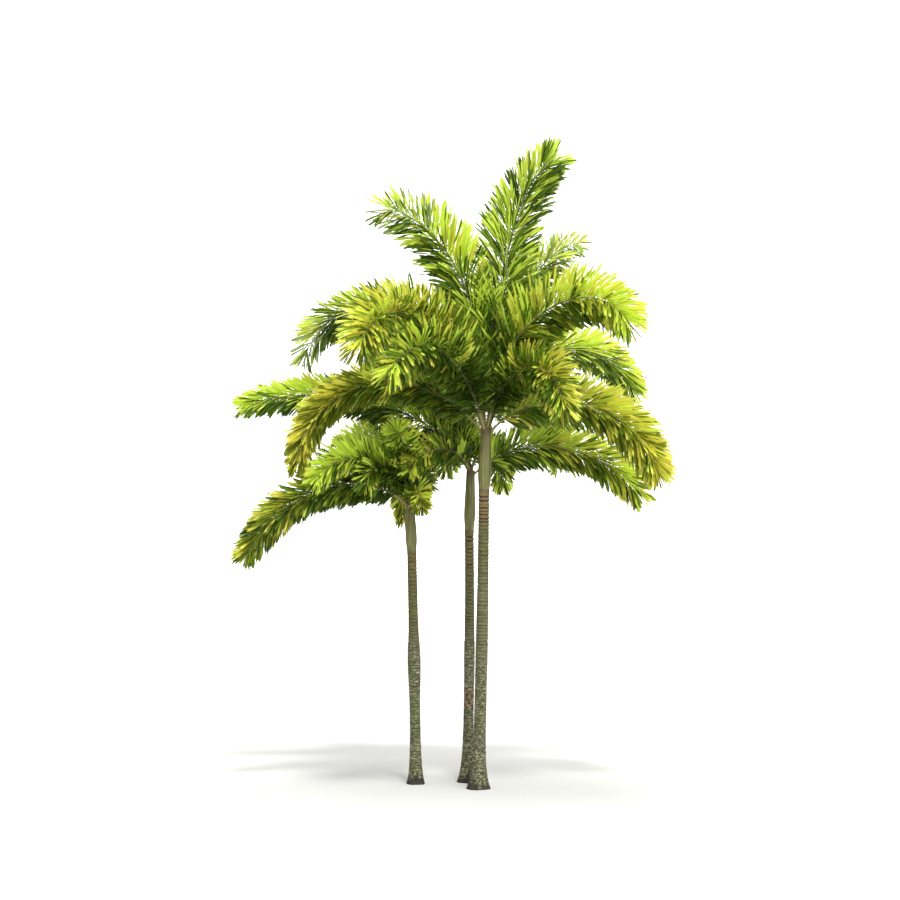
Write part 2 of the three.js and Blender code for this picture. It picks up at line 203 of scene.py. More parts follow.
class PalmLeafletSettings(bpy.types.PropertyGroup):
    """The number, the size and the colours of the leaflets"""

    seed: IntProperty(name="Seed", description="Start of the leaflets' random numbers", default=7)
    gap: FloatProperty(
        name="Gap", description="Distance along a rib between two whorls of leaflets",
        default=0.034, unit="LENGTH",
    )
    whorl: IntProperty(name="Whorl", description="Leaflets in one whorl round the rib", default=26, min=4)
    width: FloatProperty(
        name="Width", description="Widest width of a leaflet", default=0.0225, unit="LENGTH",
    )
    droop: FloatProperty(
        name="Droop", description="How far a leaflet's tip sags, as a share of its length", default=0.11,
    )
    lime: FloatVectorProperty(
        name="Lime", description="Sunlit young leaflets", subtype="COLOR",
        size=3, default=(0.7, 0.85, 0.11),
    )
    bright: FloatVectorProperty(
        name="Bright green", description="Bright leaflets", subtype="COLOR",
        size=3, default=(0.31, 0.5, 0.035),
    )
    green: FloatVectorProperty(
        name="Green", description="Middle green leaflets", subtype="COLOR",
        size=3, default=(0.13, 0.23, 0.02),
    )
    deep: FloatVectorProperty(
        name="Deep green", description="Deep green leaflets", subtype="COLOR",
        size=3, default=(0.046, 0.086, 0.008),
    )
    gold: FloatVectorProperty(
        name="Gold", description="Yellowing leaflets", subtype="COLOR",
        size=3, default=(0.72, 0.69, 0.1),
    )
    olive: FloatVectorProperty(
        name="Olive", description="Dull olive leaflets", subtype="COLOR",
        size=3, default=(0.19, 0.235, 0.018),
    )
    pale: FloatVectorProperty(
        name="Pale", description="Grey-green undersides", subtype="COLOR",
        size=3, default=(0.36, 0.45, 0.2),
    )


class PalmStageSettings(bpy.types.PropertyGroup):
    """The strengths of the lights and the colour of the backdrop"""

    top: FloatProperty(
        name="Top", description="Strength of the wide soft light from overhead", default=1.65,
    )
    key: FloatProperty(
        name="Key", description="Strength of the light from high in front", default=2.1,
    )
    front: FloatProperty(
        name="Front", description="Strength of the very soft light from the front", default=2.6,
    )
    fill: FloatProperty(
        name="Fill", description="Strength of the light from the whole sky", default=0.55,
    )
    backdrop: FloatVectorProperty(
        name="Backdrop", description="Colour behind the clump", subtype="COLOR",
        size=3, default=(1.0, 1.0, 1.0),
    )


# ------------ shader graphs


class Number:
    """A number in a shader graph. Arithmetic on it adds Math nodes."""

    def __init__(self, graph, socket):
        self.graph = graph
        self.socket = socket

    def math(self, operation, *others):
        values = dict(enumerate((self, *others)))
        return self.graph.node("ShaderNodeMath", {"operation": operation}, values)

    def __add__(self, other):
        return self.math("ADD", other)

    __radd__ = __add__

    def __sub__(self, other):
        return self.math("SUBTRACT", other)

    def __rsub__(self, other):
        return self.graph.node("ShaderNodeMath", {"operation": "SUBTRACT"}, {0: other, 1: self})

    def __mul__(self, other):
        return self.math("MULTIPLY", other)

    __rmul__ = __mul__

    def step(self, low, high):
        """Eases from 0 to 1 as the number goes from low to high."""
        values = {"Value": self, "From Min": low, "From Max": high}
        return self.graph.node("ShaderNodeMapRange", {"interpolation_type": "SMOOTHSTEP"}, values)


class Stain(NamedTuple):
    """A stain's colour, how much it covers, and where on its guide it starts and is full."""

    start: float
    full: float
    cover: float
    tone: tuple


class Graph:
    """The shader graph of one new material."""

    def __init__(self, name):
        self.material = bpy.data.materials.new(name)
        self.material.use_nodes = True
        self.tree = self.material.node_tree
        self.tree.nodes.clear()

    def node(self, kind, settings=None, values=None, output=0):
        """Adds a node, sets it up, fills or links its inputs, and returns one of its outputs."""
        node = self.tree.nodes.new(kind)
        for name, setting in (settings or {}).items():
            setattr(node, name, setting)
        for name, value in (values or {}).items():
            if isinstance(value, Number):
                self.tree.links.new(value.socket, node.inputs[name])
            else:
                node.inputs[name].default_value = value
        return Number(self, node.outputs[output]) if node.outputs else None

    def height(self):
        """The height above the ground."""
        where = self.node("ShaderNodeTexCoord", output="Object")
        return self.node("ShaderNodeSeparateXYZ", {}, {0: where}, output=2)

    def attribute(self, name):
        """A number that is stored on the mesh."""
        return self.node("ShaderNodeAttribute", {"attribute_name": name}, output="Fac")

    def noise(self, squeeze, scale, detail, roughness=0.5):
        """Noise over the object's own coordinates, each of which is first multiplied by its squeeze."""
        where = self.node("ShaderNodeTexCoord", output="Object")
        place = self.node("ShaderNodeMapping", {}, {"Vector": where, "Scale": squeeze})
        values = {"Vector": place, "Scale": scale, "Detail": detail, "Roughness": roughness}
        return self.node("ShaderNodeTexNoise", {}, values)

    def mix(self, share, first, second):
        """Blends two colours."""
        values = {0: share, 6: colour(first), 7: colour(second)}
        return self.node("ShaderNodeMix", {"data_type": "RGBA"}, values, output=2)

    def stain(self, base, guide, stain, within=None):
        """Lays a stain over a colour, where its guide and the mask that it may lie within allow."""
        cover = guide.step(stain.start, stain.full) * stain.cover
        if within is not None:
            cover = cover * within
        return self.mix(cover, base, stain.tone)

    def surface(self, base, roughness, height=None, bump=0.0, reach=0.002, **fixed):
        """A Principled surface, with bump from a height where one is given."""
        values = {"Base Color": colour(base), "Roughness": roughness, **fixed}
        if height is not None:
            bumped = {"Height": height, "Strength": bump, "Distance": reach}
            values["Normal"] = self.node("ShaderNodeBump", {}, bumped)
        return self.node("ShaderNodeBsdfPrincipled", {}, values)

    def finish(self, shader):
        """Puts a shader on the material's surface."""
        self.node("ShaderNodeOutputMaterial", {}, {"Surface": shader})
        return self.material


def colour(value):
    """A colour as a socket takes it."""
    if isinstance(value, Number):
        return value
    return (*tuple(value)[:3], 1.0)


def wavy(height, noise, swing):
    """A height with noise in it, so that a band that follows it has a ragged edge."""
    return height + (noise - 0.5) * swing


# ------------ materials

# Stains on the bark. Rust goes by the height from the trunk's top, the dark foot by the height from the
# ground, and the others by the strength of a noise.
OLIVE_PATCHES = Stain(start=0.42, full=0.62, cover=0.3, tone=(0.085, 0.09, 0.022))
RUST = Stain(start=-0.42, full=-0.18, cover=0.8, tone=(0.2, 0.13, 0.045))
PALE_STREAKS = Stain(start=0.53, full=0.66, cover=0.6, tone=(0.19, 0.18, 0.088))
DARK_STREAKS = Stain(start=0.47, full=0.34, cover=0.75, tone=(0.035, 0.032, 0.01))
PITS = Stain(start=0.5, full=0.42, cover=1.0, tone=(0.025, 0.025, 0.01))
MOSS = Stain(start=0.45, full=0.58, cover=0.7, tone=(0.07, 0.115, 0.02))
BLUSH = Stain(start=0.5, full=0.58, cover=1.0, tone=(0.42, 0.2, 0.16))
DARK_FOOT = Stain(start=0.13, full=0.04, cover=0.93, tone=(0.016, 0.012, 0.008))
SCAR_TONE = (0.036, 0.028, 0.012)
SCAR_FADE = 0.4  # share of the scars' darkness that is lost low down
YOUNG_BARK = 0.82  # shares of a trunk's height between which its bark ages
OLD_BARK = 0.5
HIGH_PITS = 0.35  # how strong the pits are on the upper trunk, against the lower

# Heights at which each of these starts and is full.
LOW_BARK = (1.5, 0.95)
MOSS_TOP = (1.45, 0.95)
MOSS_FOOT = (0.12, 0.4)
BLUSH_TOP = (0.96, 0.9)
BLUSH_FOOT = (0.7, 0.76)

# Strengths of the two noises at which lichen spots start and are full.
LICHEN_GRAIN = (0.53, 0.6)
LICHEN_STREAKS = (0.4, 0.52)


def bark_material(stem_name, settings):
    """Grey-green bark: brown young rings on top, pale lichen and moss lower down, and a dark foot."""
    stem = STEMS[stem_name]
    top = stem["neck"][2]
    graph = Graph(f"{stem_name} bark")
    height = graph.height()
    scar = graph.attribute("scar")
    patches = graph.noise((1.0, 1.0, 0.6), scale=6.0, detail=4.0)
    streaks = graph.noise((1.0, 1.0, 3.5), scale=16.0, detail=4.0, roughness=0.7)
    grain = graph.noise((1.0, 1.0, 1.5), scale=34.0, detail=3.0, roughness=0.75)

    age = wavy(height, patches, swing=1.2).step(top * YOUNG_BARK, top * OLD_BARK)
    base = graph.mix(age, settings.upper, settings.lower)
    base = graph.stain(base, patches, OLIVE_PATCHES)
    base = graph.stain(base, wavy(height, patches, swing=0.25) - top, RUST, stem["rust"])
    base = graph.stain(base, streaks, PALE_STREAKS)
    base = graph.stain(base, streaks, DARK_STREAKS)

    low = wavy(height, patches, swing=0.6).step(*LOW_BARK)
    base = graph.stain(base, grain, PITS, HIGH_PITS + low * (1.0 - HIGH_PITS))
    spots = grain.step(*LICHEN_GRAIN) * streaks.step(*LICHEN_STREAKS)
    base = graph.mix(spots * low * stem["lichen"], base, settings.lichen)
    mossy = height.step(*MOSS_TOP) * height.step(*MOSS_FOOT) * stem["moss"]
    base = graph.stain(base, patches, MOSS, mossy)
    pink = height.step(*BLUSH_TOP) * height.step(*BLUSH_FOOT) * stem["blush"]
    base = graph.stain(base, grain, BLUSH, pink)
    uneven = 0.25 + patches * 0.9
    base = graph.mix(scar * (1.0 - low * SCAR_FADE) * uneven, base, SCAR_TONE)
    ragged = wavy(wavy(height, grain, swing=0.3), patches, swing=0.3)
    # Darker towards the ground, near black at the cut, with a ragged top edge.
    base = graph.stain(base, ragged, DARK_FOOT)

    roughness = 0.75 + grain * 0.2
    relief = streaks * 0.6 + grain * 0.7 - scar * 0.5
    return graph.finish(graph.surface(base, roughness, relief, bump=0.7, reach=0.004))


# Stains on a sheath. The rim goes by the height from the crownshaft's top, the foot by the height from its
# foot, and the others by the strength of a noise.
SHEATH_CLOUDS = Stain(start=0.4, full=0.7, cover=1.0, tone=(0.15, 0.14, 0.045))
SHEATH_BLOOM = Stain(start=0.5, full=0.62, cover=0.55, tone=(0.24, 0.23, 0.075))
SHEATH_GROOVES = Stain(start=0.46, full=0.36, cover=0.5, tone=(0.06, 0.062, 0.018))
SHEATH_RIM = Stain(start=-0.1, full=0.06, cover=0.85, tone=(0.075, 0.04, 0.018))
SHEATH_FOOT = Stain(start=0.05, full=0.0, cover=0.6, tone=(0.16, 0.1, 0.045))
# Painted shade along the seam where a sheath's edge laps over, and the brown rim near the crownshaft's
# foot.
SEAM_SHADE_AND_RIM_TONE = (0.07, 0.045, 0.02)
SEAM_SHADE_AND_RIM_COVER = 0.85


def sheath_material(stem_name, settings):
    """Smooth waxy sheath: olive green with pale bloom, fine veins up its length, a brown rim on top and
    painted shade along its lapping seam.
    """
    stem = STEMS[stem_name]
    graph = Graph(f"{stem_name} sheath")
    height = graph.height()
    veins = graph.noise((1.0, 1.0, 0.02), scale=60.0, detail=2.0)
    clouds = graph.noise((1.0, 1.0, 0.4), scale=9.0, detail=4.0)
    edge = graph.attribute("edge")
    base = graph.stain(settings.colour, clouds, SHEATH_CLOUDS)
    base = graph.stain(base, veins, SHEATH_BLOOM)
    base = graph.stain(base, veins, SHEATH_GROOVES)
    base = graph.stain(base, height + clouds * 0.08 - stem["crown"][2], SHEATH_RIM)
    base = graph.stain(base, height - stem["neck"][2], SHEATH_FOOT)
    # Painted shade on the lapping seam, and the brown rim near the foot.
    base = graph.mix(edge * SEAM_SHADE_AND_RIM_COVER, base, SEAM_SHADE_AND_RIM_TONE)
    roughness = 0.42 + clouds * 0.2
    relief = veins + clouds * 0.4
    return graph.finish(graph.surface(base, roughness, relief, bump=0.25, reach=0.0015))


STALK_TONE = (0.21, 0.195, 0.06)
STALK_END = (0.12, 0.4)  # shares of the reach between which the stalk's colour gives way to the rib's
SCURF = Stain(start=0.5, full=0.72, cover=0.5, tone=(0.2, 0.17, 0.09))
RIB_ROOT = Stain(start=0.03, full=0.0, cover=0.7, tone=(0.07, 0.045, 0.02))


def rib_material(settings):
    """Pale scurfy rib, browner and striped at its root."""
    graph = Graph("rib")
    share = graph.attribute("share")
    stripes = graph.noise((1.0, 1.0, 1.0), scale=60.0, detail=3.0, roughness=0.6)
    base = graph.mix(share.step(*STALK_END), STALK_TONE, settings.colour)
    base = graph.stain(base, stripes, SCURF)
    base = graph.stain(base, share, RIB_ROOT)
    return graph.finish(graph.surface(base, 0.6, stripes, bump=0.3, reach=0.002))


LEAF_ROUGHNESS = 0.36
LEAF_SPECULAR = 0.3
LEAF_THROUGH = 0.24  # share of the light that passes through a leaflet
THROUGH_GAIN = 1.15  # how much brighter its colour is then


def leaflet_material(tint, tone):
    """One plain leaf colour, glossy above and letting some light through."""
    graph = Graph(f"{tint} leaflets")
    through = tuple(min(1.0, channel * THROUGH_GAIN) for channel in tone)
    leaf = graph.surface(tone, LEAF_ROUGHNESS, **{"Specular IOR Level": LEAF_SPECULAR})
    glow = graph.node("ShaderNodeBsdfTranslucent", {}, {"Color": colour(through)})
    return graph.finish(graph.node("ShaderNodeMixShader", {}, {0: LEAF_THROUGH, 1: leaf, 2: glow}))


def plain_material(name, tone, roughness, glow=0.0):
    """One plain colour, which may shine by itself."""
    graph = Graph(name)
    fixed = {"Emission Color": colour(tone), "Emission Strength": glow}
    return graph.finish(graph.surface(tone, roughness, **fixed))


# ------------ mesh helpers


def deselect():
    """Leaves nothing selected, so that an operator acts on the new piece alone."""
    if bpy.context.mode != "OBJECT":
        bpy.ops.object.mode_set(mode="OBJECT")
    bpy.ops.object.select_all(action="DESELECT")


def select(piece):
    """Leaves one piece selected and active."""
    deselect()
    piece.select_set(True)
    bpy.context.view_layer.objects.active = piece


def new_piece(name, vertices, faces):
    """A piece made from an array of vertices and a list of faces."""
    mesh = bpy.data.meshes.new(name)
    mesh.from_pydata(vertices.tolist(), [], faces)
    mesh.update()
    piece = bpy.data.objects.new(name, mesh)
    bpy.context.collection.objects.link(piece)
    return piece


def settled(piece, material):
    """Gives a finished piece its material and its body."""
    piece.data.materials.clear()
    piece.data.materials.append(material)
    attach(piece, "root")


def paint(piece, name, values):
    """Stores one number for each vertex."""
    layer = piece.data.attributes.new(name, "FLOAT", "POINT")
    layer.data.foreach_set("value", np.asarray(values, dtype=np.float32))


SAME_HEIGHT = 1e-6


def select_upright(piece):
    """Enters edit mode with the edges that run up a piece selected, and nothing else."""
    bpy.ops.object.mode_set(mode="EDIT")
    bpy.ops.mesh.select_mode(type="EDGE")
    bpy.ops.mesh.select_all(action="DESELECT")
    bpy.ops.object.mode_set(mode="OBJECT")
    heights = [vertex.co.z for vertex in piece.data.vertices]
    for edge in piece.data.edges:
        first, second = edge.vertices
        edge.select = abs(heights[first] - heights[second]) > SAME_HEIGHT
    bpy.ops.object.mode_set(mode="EDIT")


def ringed_cylinder(name, sides, rings, steps):
    """A unit cylinder cut into rings, each of some steps. Returns it with each vertex's row and angle."""
    deselect()
    bpy.ops.mesh.primitive_cylinder_add(vertices=sides, radius=1.0, depth=1.0, end_fill_type="NGON")
    piece = bpy.context.object
    piece.name = name
    piece.data.name = name
    for cuts in (rings - 1, steps - 1):
        select_upright(piece)
        bpy.ops.mesh.subdivide(number_cuts=cuts)
        bpy.ops.object.mode_set(mode="OBJECT")
    points = np.empty(len(piece.data.vertices) * 3, dtype=np.float64)
    piece.data.vertices.foreach_get("co", points)
    points = points.reshape(-1, 3)
    row = np.rint((points[:, 2] + 0.5) * rings * steps).astype(int)
    angle = np.arctan2(points[:, 1], points[:, 0])
    return piece, row, angle


def spread_level(centres, radius, angle):
    """Moves points out from their centres, on the level."""
    centres[:, 0] += radius * np.cos(angle)
    centres[:, 1] += radius * np.sin(angle)


def put(piece, points):
    """Moves a piece's vertices to new places."""
    piece.data.vertices.foreach_set("co", points.ravel())
    piece.data.update()


SHARPEST_SMOOTH = math.radians(50)


def smooth(piece):
    """Shades a piece smooth, apart from its sharp edges."""
    select(piece)
    bpy.ops.object.shade_smooth_by_angle(angle=SHARPEST_SMOOTH)


def roughen(piece, size, strength):
    """Works a fine cloud relief into a piece's surface."""
    texture = bpy.data.textures.new(f"{piece.name} relief", "CLOUDS")
    texture.noise_scale = size
    select(piece)
    modifier = piece.modifiers.new("relief", "DISPLACE")
    modifier.texture = texture
    modifier.texture_coords = "LOCAL"
    modifier.strength = strength
    modifier.mid_level = 0.5
    bpy.ops.object.modifier_apply(modifier=modifier.name)


# ------------ trunks

TRUNK_SEED = 20
BARK_GRAIN = 0.03
BARK_RELIEF = 0.004
FOOT_CUT = 0.008  # height below which a foot is brought back to the ground

# Across one ring, from its scar upwards: share of the ring's height, relief, and how dark the scar is.
RING_PROFILE = ((0.0, -1.0, 1.0), (0.3, -0.3, 1.0), (0.42, 0.5, 0.05), (0.88, 0.3, 0.0))
SPACING_CURVE = 1.6  # over 1, because the wide rings are near the top
SPACING_SPREAD = (0.82, 1.18)
SCAR_DEPTHS = (0.5, 1.15)
DARK_SCAR_DEPTH = 1.6
NECK_SCAR = 0.6
RING_TILT = 0.0035  # how far one side of a ring may stand above its middle
LEVEL_FOOT = 0.1  # height below which the rings are less tilted

# Waves round the foot, by the number of swells in each.
ROOT_WAVES = (5, 9, 14, 20)
WAVE_PHASES = 6
WAVE_DEPTH = 0.008
WAVE_HEIGHT = 0.045


def trunk_centres(stem, share):
    """The middle of a trunk at shares of its height."""
    foot, neck = np.array(stem["foot"]), np.array(stem["neck"])
    centres = foot + (neck - foot) * share[:, None]
    centres[:, 0] += stem["bow"] * np.sin(math.pi * share)
    return centres


def trunk_girths(stem, share, angle):
    """The radius of a trunk at shares of its height and angles round it."""
    lobes = 1 + LOBE_DEPTH * np.cos(FLARE_LOBES * angle + stem["foot"][0] * LOBE_SHIFT)
    flare = stem["flare"] * lobes * np.exp(-share * stem["neck"][2] / FLARE_HEIGHT)
    belly = stem["belly"] * np.exp(-(((share - BELLY_PLACE) / BELLY_LENGTH) ** 2))
    return stem["girth"] * (1 - NECK_TAPER * share) + flare + belly


def ring_rows(stem, settings, rng):
    """Heights, reliefs, scar darkness, tilts and tilt directions of a trunk's rows, from the foot up."""
    top = stem["neck"][2]
    rows = []
    scar = 0.0
    while scar < top - settings.ring_top:
        grown = (scar / top) ** SPACING_CURVE
        spacing = settings.ring_foot + (settings.ring_top - settings.ring_foot) * grown
        spacing *= rng.uniform(*SPACING_SPREAD)
        depth = rng.uniform(*SCAR_DEPTHS)
        if any(abs(scar - dark) < spacing / 2 for dark in stem["dark_rings"]):
            depth = DARK_SCAR_DEPTH
        tilt = rng.uniform(0.0, RING_TILT) * min(1.0, scar / LEVEL_FOOT)
        towards = rng.uniform(0, 2 * math.pi)
        for share, relief, dark in RING_PROFILE:
            height = scar + share * spacing
            rows.append((height, relief * depth * settings.relief, dark * depth, tilt, towards))
        scar += spacing
    rows.append((top, 0.0, NECK_SCAR, 0.0, 0.0))
    return np.array(rows).T


def ragged_foot(angle, height, rng):
    """How far the roots at a trunk's foot stand out from its flare."""
    waves = sum(np.sin(angle * count + rng.uniform(0, WAVE_PHASES)) / count**0.5 for count in ROOT_WAVES)
    return WAVE_DEPTH * waves * np.exp(-height / WAVE_HEIGHT)


def flatten_foot(piece):
    """Brings the cut under a trunk back to the ground after it is roughened."""
    for vertex in piece.data.vertices:
        if vertex.co.z < FOOT_CUT:
            vertex.co.z = 0.0


class PALM_OT_trunks(bpy.types.Operator):
    """Models the three ringed trunks with their flared feet"""

    bl_idname = "palm.trunks"
    bl_label = "Trunks"

    def execute(self, context):
        settings = context.scene.palm_trunk
        steps = len(RING_PROFILE)
        for number, (stem_name, stem) in enumerate(STEMS.items()):
            rng = np.random.default_rng(TRUNK_SEED + number)
            heights, reliefs, scars, tilts, towards = ring_rows(stem, settings, rng)
            rings = (len(heights) - 1) // steps
            piece, row, angle = ringed_cylinder(f"{stem_name}_bark", settings.sides, rings, steps)
            share = heights[row] / stem["neck"][2]
            radius = trunk_girths(stem, share, angle) + reliefs[row]
            radius += ragged_foot(angle, heights[row], rng)
            points = trunk_centres(stem, share)
            spread_level(points, radius, angle)
            points[:, 2] = heights[row] + tilts[row] * np.cos(angle - towards[row])
            put(piece, points)
            paint(piece, "scar", scars[row])
            roughen(piece, BARK_GRAIN, BARK_RELIEF)
            flatten_foot(piece)
            smooth(piece)
            settled(piece, bark_material(stem_name, settings))
            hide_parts(f"{stem_name}_trunk")
        return {"FINISHED"}


# ------------ crownshafts

SHAFT_RINGS = 13
SHAFT_STEPS = 3
SHAFT_OVALNESS = 0.02
SEAM_STEP = 1.3  # radians from one crownshaft's seam to the next one's
SEAM_TWIST = 0.8  # radians by which a seam winds on its way up
SEAM_WIDTH = 0.09
LAP_HEIGHT = 0.0022
# How dark the painted shade along a sheath's lapping edge is.
LAP_PAINTED_SHADE = 0.6
LAP_GROWTH = 3  # the lap is this times the share of the height, less the delay, up to 1
LAP_DELAY = 0.4
RIM_PLACE = 0.02  # shares of the crownshaft's height
RIM_LENGTH = 0.02
RIM_HEIGHT = 0.002


def eased(share):
    """A smooth step from 0 to 1."""
    share = np.clip(share, 0, 1)
    return share**2 * (3 - 2 * share)


def shaft_girths(stem, share):
    """The radius of a crownshaft at shares of its height."""
    neck = stem["girth"] * (1 - NECK_TAPER)
    swollen = neck + (stem["girth"] * SHAFT_SWELL - neck) * eased(share / SWELL_PLACE)
    closing = eased((share - SWELL_PLACE) / (1 - SWELL_PLACE))
    return swollen + (stem["girth"] * SHAFT_TOP - swollen) * closing


def seam_lap(share, angle, seam):
    """How strongly a sheath's edge shows near its seam, from 0 to 1."""
    away = np.abs((angle - seam + math.pi) % (2 * math.pi) - math.pi)
    return np.exp(-((away / SEAM_WIDTH) ** 2)) * np.clip(share * LAP_GROWTH - LAP_DELAY, 0, 1)


class PALM_OT_crownshafts(bpy.types.Operator):
    """Models the three crownshafts of wrapped leaf sheaths"""

    bl_idname = "palm.crownshafts"
    bl_label = "Crownshafts"

    def execute(self, context):
        settings = context.scene.palm_shaft
        for number, (stem_name, stem) in enumerate(STEMS.items()):
            name = f"{stem_name}_sheath"
            piece, row, angle = ringed_cylinder(name, settings.sides, SHAFT_RINGS, SHAFT_STEPS)
            share = row / (SHAFT_RINGS * SHAFT_STEPS)
            foot, crown = np.array(stem["neck"]), np.array(stem["crown"])
            seam = number * SEAM_STEP + share * SEAM_TWIST
            lap = seam_lap(share, angle, seam)
            rim = np.exp(-(((share - RIM_PLACE) / RIM_LENGTH) ** 2))
            radius = shaft_girths(stem, share) * (1 + SHAFT_OVALNESS * np.cos(2 * angle + number))
            radius += LAP_HEIGHT * np.where(angle > seam, lap, -lap) + RIM_HEIGHT * rim
            points = foot + (crown - foot) * share[:, None]
            spread_level(points, radius, angle)
            put(piece, points)
            # The edge number is painted shade along the lapping seam plus the rim near the foot.
            paint(piece, "edge", np.clip(lap * LAP_PAINTED_SHADE + rim, 0, 1))
            smooth(piece)
            settled(piece, sheath_material(stem_name, settings))
            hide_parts(f"{stem_name}_crownshaft")
        return {"FINISHED"}


# ------------ fronds

SPINE_STEPS = 160


class Frond:
    """One frond's rib as a line of points, with its directions at each."""

    def __init__(self, row):
        self.stem, self.azimuth, self.rise, self.arch, self.bend, self.sway = row[:6]
        self.reach, self.spread, self.tone, self.warmth = row[6:]
        self.thin = (self.stem, self.azimuth) in THIN_FRONDS
        self.share = np.linspace(0, 1, SPINE_STEPS + 1)
        self.tilt, self.heading = self.course(self.share)
        tilt, heading = self.course((self.share[:-1] + self.share[1:]) / 2)
        level = np.cos(tilt)
        step = np.stack([level * np.cos(heading), level * np.sin(heading), np.sin(tilt)], 1)
        path = np.vstack([np.zeros(3), np.cumsum(step, 0)]) * self.reach / SPINE_STEPS
        self.points = path + self.root()

    def course(self, share):
        """The rib's tilt and heading at shares of its reach."""
        bent = share**self.bend
        return np.radians(self.rise - self.arch * bent), np.radians(self.azimuth + self.sway * bent)

    def root(self):
        """Where the rib starts, inside the top of its crownshaft."""
        stem = STEMS[self.stem]
        level = math.cos(math.radians(self.rise))
        out = stem["girth"] * SHAFT_TOP * ROOT_RING * (ROOT_CORE + (1 - ROOT_CORE) * level)
        heading = math.radians(self.azimuth)
        down = ROOT_DEPTH * level + ROOT_SINK
        return np.array(stem["crown"]) + (math.cos(heading) * out, math.sin(heading) * out, -down)

    def at(self, share):
        """The points and the three directions at shares of the reach: along, to the side, and above."""
        places = range(SPINE_STEPS + 1)
        points = [np.interp(share * SPINE_STEPS, places, self.points[:, axis]) for axis in range(3)]
        tilt = np.interp(share, self.share, self.tilt)
        heading = np.interp(share, self.share, self.heading)
        cos_tilt, sin_tilt = np.cos(tilt), np.sin(tilt)
        cos_head, sin_head = np.cos(heading), np.sin(heading)
        along = np.stack([cos_tilt * cos_head, cos_tilt * sin_head, sin_tilt], 1)
        side = np.stack([-sin_head, cos_head, np.zeros_like(heading)], 1)
        above = np.stack([-sin_tilt * cos_head, -sin_tilt * sin_head, cos_tilt], 1)
        return np.stack(points, 1), along, side, above


def fronds_of(stem_name):
    """The fronds of one stem, in the order of the plan."""
    return [Frond(row) for row in FRONDS if row[0] == stem_name]


# ------------ ribs

RIB_ROWS = 44
RIB_SIDES = 10
ROW_CURVE = 1.15  # over 1, because the rows are closer near the root
RIB_TAPER = 0.9
CLASP_LENGTH = 0.035  # share of the reach in which the wide root narrows
CLASP_FLATNESS = 0.15  # share of its depth that the root lacks
CHANNEL_DEPTH = 0.45  # share of the depth of a rib
CHANNEL_WIDTH = 0.5  # in radians


def rib_girth(settings, share):
    """A rib's half width and half depth at shares of its reach."""
    clasp = np.exp(-share / CLASP_LENGTH)
    taper = settings.girth + (settings.tip - settings.girth) * np.clip(share, 0, 1) ** RIB_TAPER
    width = taper + (settings.root_width - settings.girth) * clasp
    return width, taper * (1 - CLASP_FLATNESS * clasp)


def rib_mesh(frond, settings):
    """A closed tapering tube, channelled along its upper side."""
    share = np.linspace(0, 1, RIB_ROWS) ** ROW_CURVE
    points, along, side, above = frond.at(share)
    width, depth = rib_girth(settings, share)
    angle = np.arange(RIB_SIDES) * 2 * math.pi / RIB_SIDES
    channel = 1 - CHANNEL_DEPTH * np.exp(-((np.abs(angle - math.pi / 2) / CHANNEL_WIDTH) ** 2))
    across = np.cos(angle)[None, :, None] * width[:, None, None] * side[:, None, :]
    upward = (np.sin(angle) * channel)[None, :, None] * depth[:, None, None] * above[:, None, :]
    ring = points[:, None, :] + across + upward
    row, corner = np.meshgrid(np.arange(RIB_ROWS - 1), np.arange(RIB_SIDES), indexing="ij")
    here = (row * RIB_SIDES + corner).ravel()
    beside = (row * RIB_SIDES + (corner + 1) % RIB_SIDES).ravel()
    quads = np.stack([here, beside, beside + RIB_SIDES, here + RIB_SIDES], 1).tolist()
    last = (RIB_ROWS - 1) * RIB_SIDES
    caps = [list(range(RIB_SIDES))[::-1], list(range(last, last + RIB_SIDES))]
    return ring.reshape(-1, 3), quads + caps, np.repeat(share, RIB_SIDES)


class PALM_OT_ribs(bpy.types.Operator):
    """Models the stalks and ribs of every frond"""

    bl_idname = "palm.ribs"
    bl_label = "Ribs"

    def execute(self, context):
        settings = context.scene.palm_rib
        material = rib_material(settings)
        for stem_name in STEMS:
            vertices, faces, shares = [], [], []
            for number, frond in enumerate(fronds_of(stem_name)):
                corners, around, share = rib_mesh(frond, settings)
                start = number * len(corners)
                faces += [[corner + start for corner in face] for face in around]
                vertices.append(corners)
                shares.append(share)
            piece = new_piece(f"{stem_name}_ribs", np.vstack(vertices), faces)
            paint(piece, "share", np.concatenate(shares))
            smooth(piece)
            settled(piece, material)
            fronds = [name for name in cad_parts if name.startswith(f"{stem_name}_frond_")]
            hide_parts(*sorted(fronds))
        return {"FINISHED"}


# ------------ leaflets

# A leaflet's outline as (share of its length, share of its half width), base first, with a jagged tip.
LEAFLET = np.array([
    (0.0, -0.14), (0.0, 0.14),
    (0.3, -0.6), (0.3, 0.0), (0.3, 0.6),
    (0.74, -1.0), (0.74, 0.0), (0.74, 1.0),
    (0.97, -0.9), (0.86, -0.28), (1.0, 0.38), (0.9, 0.96),
])
LEAFLET_FACES = np.array([
    (0, 3, 2), (0, 1, 3), (1, 4, 3),
    (2, 6, 5), (2, 3, 6), (3, 7, 6), (3, 4, 7),
    (5, 9, 8), (5, 6, 9), (6, 10, 9), (6, 7, 10), (7, 11, 10),
])
TEETH = 0.8  # share of the length beyond which the corners are teeth
TEETH_JITTER = 0.05
FOLD = 0.28  # how far a leaflet's edges rise, against its half width

# Length of the leaflets along the leafy part of a frond, which is 1 where they are longest.
FIRST_LENGTH = 0.66
OPENING_END = 0.3
CLOSING_START = 0.62
CLOSING_LOSS = 0.48
CLOSING_CURVE = 2.4

